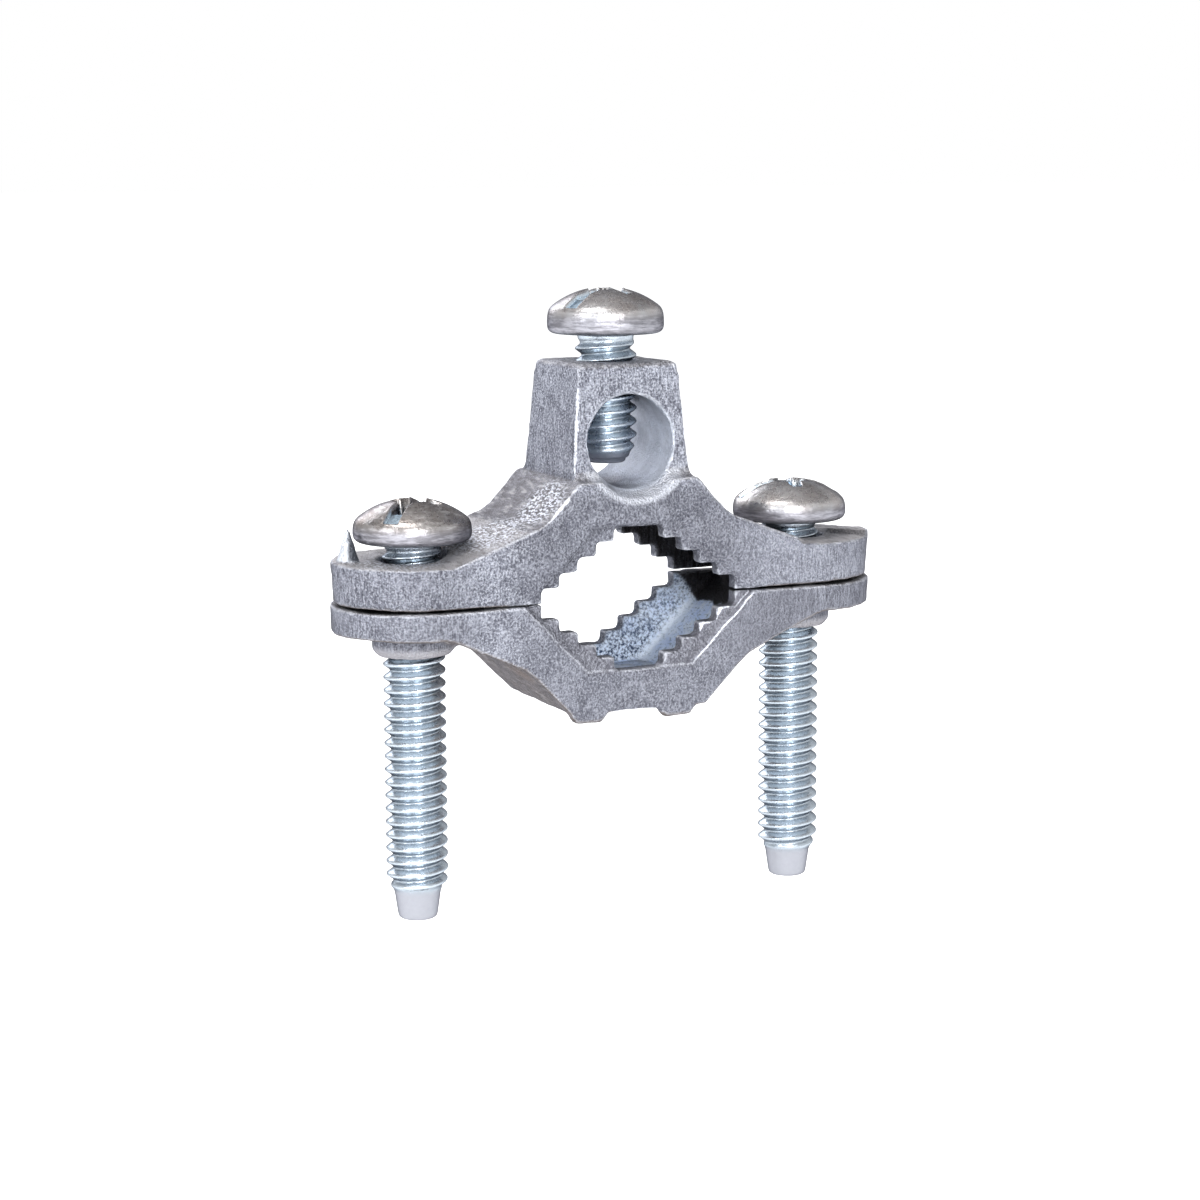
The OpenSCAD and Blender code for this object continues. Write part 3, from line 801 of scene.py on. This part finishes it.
# %% Zinc: the bare skin, with painted light on tops
cast_zinc, tree, shader, place = new_material("zinc_as_cast")
grain = use_group(tree, grain_group, Place=place)
grit, mottle = grain.outputs["Grain"], grain.outputs["Mottle"]
drag = use_group(tree, drawn_group, Place=place).outputs["Lines"]
skin = tint(tree, spread(tree, mottle, 0.38, 0.62), (0.132, 0.139, 0.170), (0.322, 0.337, 0.390))
skin = wash(tree, skin, [
    (spread(tree, grit, 0.50, 0.64), 0.68, (0.62, 0.64, 0.72)),
    (spread(tree, grit, 0.47, 0.36), 0.75, (0.05, 0.05, 0.07)),
    ("calm", 0.4, (0.290, 0.300, 0.350)),
    ("dull", 0.37, (0.07, 0.07, 0.085)),
    ("strip", 0.13, (0.15, 0.13, 0.13)),
    # painted light: tops a little lighter and warmer
    ("upward", 0.3, (0.36, 0.34, 0.33)),
    # painted light: the ears' flat tops lighter
    ("ear_top", 0.6, (0.66, 0.64, 0.65)),
])
print("bare skin from the grain and", len(tree.nodes), "nodes")

# %% [markdown]
# Tops and undersides are drawn front to back, dark lines and light ones. Undersides
# are painted with a warm bounce light, as from the sweep, with dark spots and painted
# shade along their proud edges. Painted shade sits round the screws' necks, under the
# heads, and the bosses are painted lighter.

# %% Zinc: tops, undersides and marks, with painted light and shade
pulled = drawn(tree, place, (1.0, 0.22, 1.0), 2300.0)
flats = math_node(tree, "ADD", kept(tree, "upward"), times(tree, kept(tree, "downward"), 2.0))
dark_lines = times(tree, flats, spread(tree, pulled, 0.47, 0.36, 0.0, 0.4))
light_lines = times(tree, flats, spread(tree, pulled, 0.53, 0.66, 0.0, 0.4))
spots = broken(tree, place, kept(tree, "downward"), 0.93, 0.2, 1700.0)
stain = broken(tree, place, kept(tree, "stained"), 0.4, 0.6, 900.0)
drag_mask = times(tree, kept(tree, "drawn"), spread(tree, drag, 0.42, 0.66))
glint = drawn(tree, place, (1.0, 0.45, 1.0), 4200.0)
skin = tint(tree, dark_lines, skin, (0.07, 0.06, 0.055))
skin = tint(tree, light_lines, skin, (0.70, 0.69, 0.70))
skin = wash(tree, skin, [
    # painted light: undersides warm, as bounce light from the sweep
    ("downward", 0.5, (0.43, 0.37, 0.34)),
    (spots, 0.6, (0.09, 0.075, 0.06)),
    # painted shade along proud edges that face down
    (times(tree, kept(tree, "wear_and_highlight"), kept(tree, "downward")), 0.6, (0.07, 0.06, 0.055)),
    # painted shade round the necks, under the heads
    ("neck_shade", 0.8, (0.05, 0.045, 0.04)),
    # painted shade lines at the pad's and the lip's edges
    ("pad_edge", 0.9, (0.06, 0.06, 0.065)),
    ("lip_line", 0.9, (0.06, 0.06, 0.065)),
    # painted light: the bosses lighter, under the ears' shade
    ("boss", 0.5, (0.52, 0.51, 0.54)),
    # painted shade in sunken places
    ("sheltered", 0.45, (0.06, 0.06, 0.07)),
    (drag_mask, 0.3, (0.50, 0.52, 0.60)),
    (times(tree, kept(tree, "drawn"), spread(tree, drag, 0.47, 0.36)), 0.3, (0.08, 0.08, 0.10)),
    (stain, 0.6, (0.40, 0.31, 0.25)),
    (times(tree, spread(tree, glint, 0.48, 0.40), kept(tree, "sparkling")), 0.55, (0.09, 0.085, 0.085)),
])
print("tops, undersides and marks:", len(tree.nodes), "nodes so far")

# %% [markdown]
# A thin bright line is scribed all round the lower bite, along the hollow's slopes
# behind the wall and level below the bite, with a short second line beside it on
# the right. The shader works it out from the place, so that it stays a tenth of a
# millimetre thin, and the slow mottle makes it waver.

# %% Zinc: the scribed line
apart = add_node(tree, "ShaderNodeSeparateXYZ")
join(tree, place, apart.inputs[0])
across = math_node(tree, "SUBTRACT", math_node(tree, "ABSOLUTE", apart.outputs["X"]), apart.outputs["Z"])
beside_slope = math_node(tree, "SUBTRACT", across, (HOLLOW_HALF - SCRIBED_IN) * MM)
below_floor = math_node(tree, "SUBTRACT", -SCRIBED_DEPTH * MM, apart.outputs["Z"])
across = math_node(tree, "MAXIMUM", beside_slope, below_floor)
across = math_node(tree, "ADD", across, times(tree, mottle, 0.7 * MM))
thin = spread(tree, math_node(tree, "ABSOLUTE", across), 0.07 * MM, 0.16 * MM, 1.0, 0.0)
second = math_node(tree, "ABSOLUTE", math_node(tree, "ADD", across, 0.62 * MM))
short = spread(tree, apart.outputs["X"], 9.5 * MM, 10.5 * MM, 0.0, 0.8)
second = times(tree, spread(tree, second, 0.03 * MM, 0.12 * MM, 1.0, 0.0), short)
scribed = times(tree, math_node(tree, "MAXIMUM", thin, second), kept(tree, "scribed"))
scribed = times(tree, scribed, spread(tree, grit, 0.36, 0.5, 0.35, 0.9))

# %% Zinc: bright wear, painted highlights and glints
# Proud edges lit up: bright wear, partly painted highlight.
wear_and_highlight = broken(tree, place, kept(tree, "wear_and_highlight"), 0.72, 0.4)
# Painted highlights: bright lines on proud edges of the lug, arch, ear and bite.
edge = times(tree, kept(tree, "wear_and_highlight"), kept(tree, "painted_edge_highlight"))
painted_edge_highlight = broken(tree, place, edge, 0.70, 0.3, 2200.0)
not_below = math_node(tree, "SUBTRACT", 0.4, times(tree, kept(tree, "downward"), 0.4))
# Painted glints: bright specks in the sparkling patches.
sparks = times(tree, spread(tree, glint, 0.50, 0.57), kept(tree, "sparkling"))
bright = times(tree, wear_and_highlight, not_below)
crescent = times(tree, kept(tree, "crescent"), 0.43)
for other in (painted_edge_highlight, scribed, crescent, times(tree, sparks, 0.85)):
    bright = math_node(tree, "MAXIMUM", bright, other)
skin = tint(tree, bright, skin, (0.84, 0.87, 0.95))
print("scribed line and bright wear:", len(tree.nodes), "nodes so far")

# %% [markdown]
# The hollow's lit half is painted light: a pale blue with dark speckles, coarser on
# its back wall, and a lighter band along its crease. What lies in the dark is painted
# shade, nearly black, and the backs of the lower teeth are painted dark too.

# %% Zinc: the hollow, the bore, the rims and the split, in painted light and shade
speckle = drawn(tree, place, (1.0, 0.5, 1.0), 3900.0)
# Painted light: the hollow's lit part in pale blue with speckles.
blue = tint(tree, spread(tree, mottle, 0.38, 0.6), (0.61, 0.74, 1.0), (0.80, 0.88, 1.0))
blue = tint(tree, spread(tree, speckle, 0.47, 0.37, 0.0, 0.55), blue, (0.14, 0.20, 0.28))
coarse_blue = tint(tree, spread(tree, speckle, 0.40, 0.62), (0.015, 0.03, 0.075), (0.75, 0.85, 1.0))
blue = wash(tree, blue, [("back_wall", 0.9, coarse_blue)])
skin = tint(tree, kept(tree, "cored"), skin, blue)
skin = tint(tree, kept(tree, "crease"), skin, (0.78, 0.87, 1.0))
# Painted shade on the backs of the lower teeth.
backs = times(tree, kept(tree, "tooth_backs"), spread(tree, speckle, 0.52, 0.44, 0.15, 0.8))
skin = tint(tree, backs, skin, (0.04, 0.055, 0.08))
# Painted shade: the hollow's dark part near black.
painted_shade = times(tree, kept(tree, "deep"), spread(tree, drag, 0.38, 0.62, 0.98, 0.8))
skin = tint(tree, painted_shade, skin, (0.012, 0.010, 0.009))
# the hole's smooth wall, painted lighter, partly as light
smooth_wall = tint(tree, spread(tree, mottle, 0.35, 0.65), (0.44, 0.47, 0.54), (0.66, 0.70, 0.78))
skin = wash(tree, skin, [("bored", 0.8, smooth_wall)])
# Painted shade at grazing angles: faces seen edge-on are darkened, except tops.
facing = add_node(tree, "ShaderNodeLayerWeight", Blend=0.5).outputs["Facing"]
not_above = math_node(tree, "SUBTRACT", 1.0, kept(tree, "upward"))
rim = times(tree, spread(tree, facing, 0.7, 0.93, 0.0, 0.75), not_above)
skin = tint(tree, rim, skin, (0.05, 0.05, 0.06))
skin = wash(tree, skin, [
    # painted light on the spur, then painted shade on its right side
    ("spur", 0.85, (0.72, 0.76, 0.82)),
    ("spur_shade", 0.9, (0.04, 0.045, 0.06)),
    # painted shade: the split's band near black
    ("split", 0.97, (0.01, 0.01, 0.01)),
])
join(tree, skin, shader.inputs["Base Color"])

# %% Zinc: metal, roughness and bump
shader.inputs["Specular Tint"].default_value = (0.25, 0.25, 0.28, 1)
unlike_metal = math_node(tree, "MAXIMUM", kept(tree, "split"), kept(tree, "deep"))
unlike_metal = math_node(tree, "MAXIMUM", kept(tree, "cored"), unlike_metal)
join(tree, spread(tree, unlike_metal, 0.0, 1.0, 0.7, 0.1), shader.inputs["Metallic"])
rough = spread(tree, grit, 0.3, 0.7, 0.36, 0.6)
rough = math_node(tree, "SUBTRACT", rough, times(tree, bright, 0.12), clamp=True)
rough = math_node(tree, "ADD", rough, times(tree, kept(tree, "cored"), 0.35), clamp=True)
join(tree, rough, shader.inputs["Roughness"])
height = math_node(tree, "ADD", grit, times(tree, mottle, 0.6))
height = math_node(tree, "ADD", height, times(tree, drag_mask, 0.4))
height = math_node(tree, "SUBTRACT", height, times(tree, grain.outputs["Specks"], 0.3))
bump = add_node(tree, "ShaderNodeBump", Strength=0.8, Distance=0.25 * MM)
join(tree, height, bump.inputs["Height"])
join(tree, bump.outputs["Normal"], shader.inputs["Normal"])
print("cast zinc:", len(tree.nodes), "nodes in all")

# %% [markdown]
# ## Plated steel
# The screws are bright zinc plated: smooth, with a warm film where fingers and oil
# have been, most of all on the left head. The faint blue in the slot's ends and on the
# thread is a painted reflection. The heads' rolled sides are streaked and painted
# darker as shade, painted shade lies in the thread's roots, the recesses and along
# edges seen edge-on, and the tips are a dull grey.

# %% The plated steel material
plated_steel, tree, shader, place = new_material("bright_plate")
grain = use_group(tree, grain_group, Place=place, Fine_Scale=2600.0, Coarse_Scale=380.0)
grit, mottle = grain.outputs["Grain"], grain.outputs["Mottle"]
ring = drawn(tree, place, (0.15, 0.15, 1.0), 4200.0)
grimy = broken(tree, place, kept(tree, "grime"), 0.62, 0.5, 1100.0)
rolled = tint(tree, spread(tree, ring, 0.4, 0.62), (0.16, 0.16, 0.185), (0.40, 0.40, 0.45))
facing = add_node(tree, "ShaderNodeLayerWeight", Blend=0.5).outputs["Facing"]
skin = tint(tree, spread(tree, mottle, 0.36, 0.64), (0.44, 0.41, 0.40), (0.54, 0.54, 0.55))
skin = wash(tree, skin, [
    (grimy, 0.6, (0.22, 0.19, 0.17)),
    (times(tree, spread(tree, ring, 0.52, 0.66), kept(tree, "grime")), 0.5, (0.78, 0.76, 0.76)),
    # painted shade: the heads' sides darker, with rolled streaks
    ("side", 0.85, rolled),
    # painted reflection: the shank's blue
    ("shank", 1.0, (0.52, 0.58, 0.64)),
    # painted shade in the thread's roots
    ("root", 0.45, (0.20, 0.24, 0.28)),
    # painted reflection: light blue in the slot's ends
    ("run_out", 1.0, (0.62, 0.78, 0.92)),
    # painted shade in the recess, from a shallower depth on the grimier heads
    ("recess", 0.95, (0.03, 0.04, 0.05)),
    ("tip", 1.0, (0.37, 0.38, 0.42)),
])
# Painted shade at grazing angles: faces seen edge-on are darkened.
skin = tint(tree, spread(tree, facing, 0.7, 0.97, 0.0, 0.8), skin, (0.07, 0.07, 0.08))
join(tree, skin, shader.inputs["Base Color"])
shader.inputs["Specular Tint"].default_value = (0.3, 0.3, 0.32, 1)
shader.inputs["Metallic"].default_value = 1.0
rough = spread(tree, grit, 0.3, 0.7, 0.22, 0.38)
rough = math_node(tree, "ADD", rough, times(tree, kept(tree, "tip"), 0.08))
rough = math_node(tree, "ADD", rough, times(tree, kept(tree, "side"), 0.12))
join(tree, rough, shader.inputs["Roughness"])
height = math_node(tree, "ADD", times(tree, grit, 0.6), times(tree, ring, 0.5))
height = math_node(tree, "ADD", height, times(tree, mottle, 1.6))
bump = add_node(tree, "ShaderNodeBump", Strength=0.4, Distance=0.12 * MM)
join(tree, height, bump.inputs["Height"])
join(tree, bump.outputs["Normal"], shader.inputs["Normal"])
print("plated steel:", len(tree.nodes), "nodes")

# %% [markdown]
# ## Dressing the bodies
# Each new piece rides on the body of the node that it replaces, so the jaw's
# travel and the screws' turns carry it along.

# %% Ride and replace
for node, piece in {**SCREWS, "upper_jaw": upper_cast, "lower_jaw": lower_cast}.items():
    metal, slot = (cast_zinc, "cast_zinc") if node.endswith("jaw") else (plated_steel, "plated_steel")
    piece.data.materials.append(metal)
    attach(piece, node)
    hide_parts(node)
    print(node, "is dressed by", piece.name, "in", metal.name)

# %% [markdown]
# ## Floor and light
# The clamp stands upright over a white sweep, which lies 7.5 mm under the screw
# tips, so that the opened lower jaw clears it too. Metal shows its surroundings, so
# a plain white room would make it flat: a grey card overhead and behind gives the
# screw heads their dark caps. A front window lights the faces and shines into the
# lower hollow, a left window and one behind reach the slopes.

# %% Helpers: sheets and rays
def sheet_object(name, centre, across, along):
    """A flat four-cornered sheet in mm, spanned by two half sides about its centre."""
    centre, across, along = (np.array(v, float) for v in (centre, across, along))
    corners = [centre - across - along, centre + across - along,
               centre + across + along, centre - across + along]
    piece = mesh_object(name, corners, [[0, 1, 2, 3]])
    return piece


def show_by_ray(tree, lighting, seen, output):
    """Shows one shader to rays from the camera, off glossy metal and through glass,
    and lights the scene with the other."""
    path = add_node(tree, "ShaderNodeLightPath")
    pick = add_node(tree, "ShaderNodeMixShader")
    share = path.outputs["Is Camera Ray"]
    for kind in ("Is Glossy Ray", "Is Transmission Ray"):
        share = math_node(tree, "ADD", share, path.outputs[kind], clamp=True)
    join(tree, share, pick.inputs["Fac"])
    join(tree, lighting.outputs[0], pick.inputs[1])
    join(tree, seen.outputs[0], pick.inputs[2])
    join(tree, pick.outputs[0], output.inputs["Surface"])


# %% Floor
FLOOR_GAP, FLOOR_HALF = 7.5, 6000
floor_z = cad_low[2] / MM - FLOOR_GAP
floor = sheet_object("floor", (0, 0, floor_z), (FLOOR_HALF, 0, 0), (0, FLOOR_HALF, 0))
floor_paint = bpy.data.materials.new("white_sweep")
floor_paint.use_nodes = True
tree = floor_paint.node_tree
tree.nodes.remove(tree.nodes["Principled BSDF"])
matt = add_node(tree, "ShaderNodeBsdfDiffuse", Color=(0.9, 0.9, 0.9, 1))
glow = add_node(tree, "ShaderNodeEmission", Color=(1, 1, 1, 1), Strength=0.75)
both = add_node(tree, "ShaderNodeAddShader")
join(tree, matt.outputs[0], both.inputs[0])
join(tree, glow.outputs[0], both.inputs[1])
show_by_ray(tree, matt, both, tree.nodes["Material Output"])
floor.data.materials.append(floor_paint)

# %% World
world = bpy.data.worlds.new("studio")
world.use_nodes = True
bpy.context.scene.world = world
tree = world.node_tree
plain = tree.nodes["Background"]
plain.inputs["Color"].default_value = (0.93, 0.95, 1.0, 1)
plain.inputs["Strength"].default_value = 0.45
white = add_node(tree, "ShaderNodeBackground", Color=(1, 1, 1, 1), Strength=1.0)
show_by_ray(tree, plain, white, tree.nodes["World Output"])

# %% Cards and lamps
def card(name, centre, across, along, colour):
    """A dull card that the metal reflects and the camera doesn't see."""
    piece = sheet_object(name, centre, across, along)
    paint = bpy.data.materials.new(name)
    paint.use_nodes = True
    dull = paint.node_tree.nodes["Principled BSDF"]
    dull.inputs["Base Color"].default_value = (*colour, 1)
    dull.inputs["Roughness"].default_value = 1.0
    dull.inputs["Specular IOR Level"].default_value = 0.0
    piece.data.materials.append(paint)
    piece.visible_camera = False
    piece.visible_shadow = False
    piece.visible_diffuse = False
    return piece


def lamp(name, place_mm, size_mm, power, colour):
    """A soft square lamp that points at the middle of the clamp."""
    data = bpy.data.lights.new(name, "AREA")
    data.size = size_mm * MM
    data.energy = power
    data.color = colour
    piece = bpy.data.objects.new(name, data)
    bpy.context.scene.collection.objects.link(piece)
    piece.location = Vector(place_mm) * MM
    piece.rotation_mode = "QUATERNION"
    piece.rotation_quaternion = (-piece.location).to_track_quat("-Z", "Y")
    return piece


card("warm_ceiling", (0, 190, 420), (520, 0, 0), (0, 430, 0), (0.60, 0.58, 0.57))
lamp("back_window", (-30, 420, 200), 240, 0.8, (0.96, 0.97, 1.0))
lamp("front_window", (-100, -395, 140), 150, 1.35, (1, 1, 1))
lamp("left_window", (-390, -170, 160), 160, 0.6, (0.95, 0.97, 1.0))
lamp("over", (-140, -60, 380), 200, 0.7, (1, 0.98, 0.95))
print("lamps, cards and floor are in place, floor at", round(floor_z, 2), "mm")
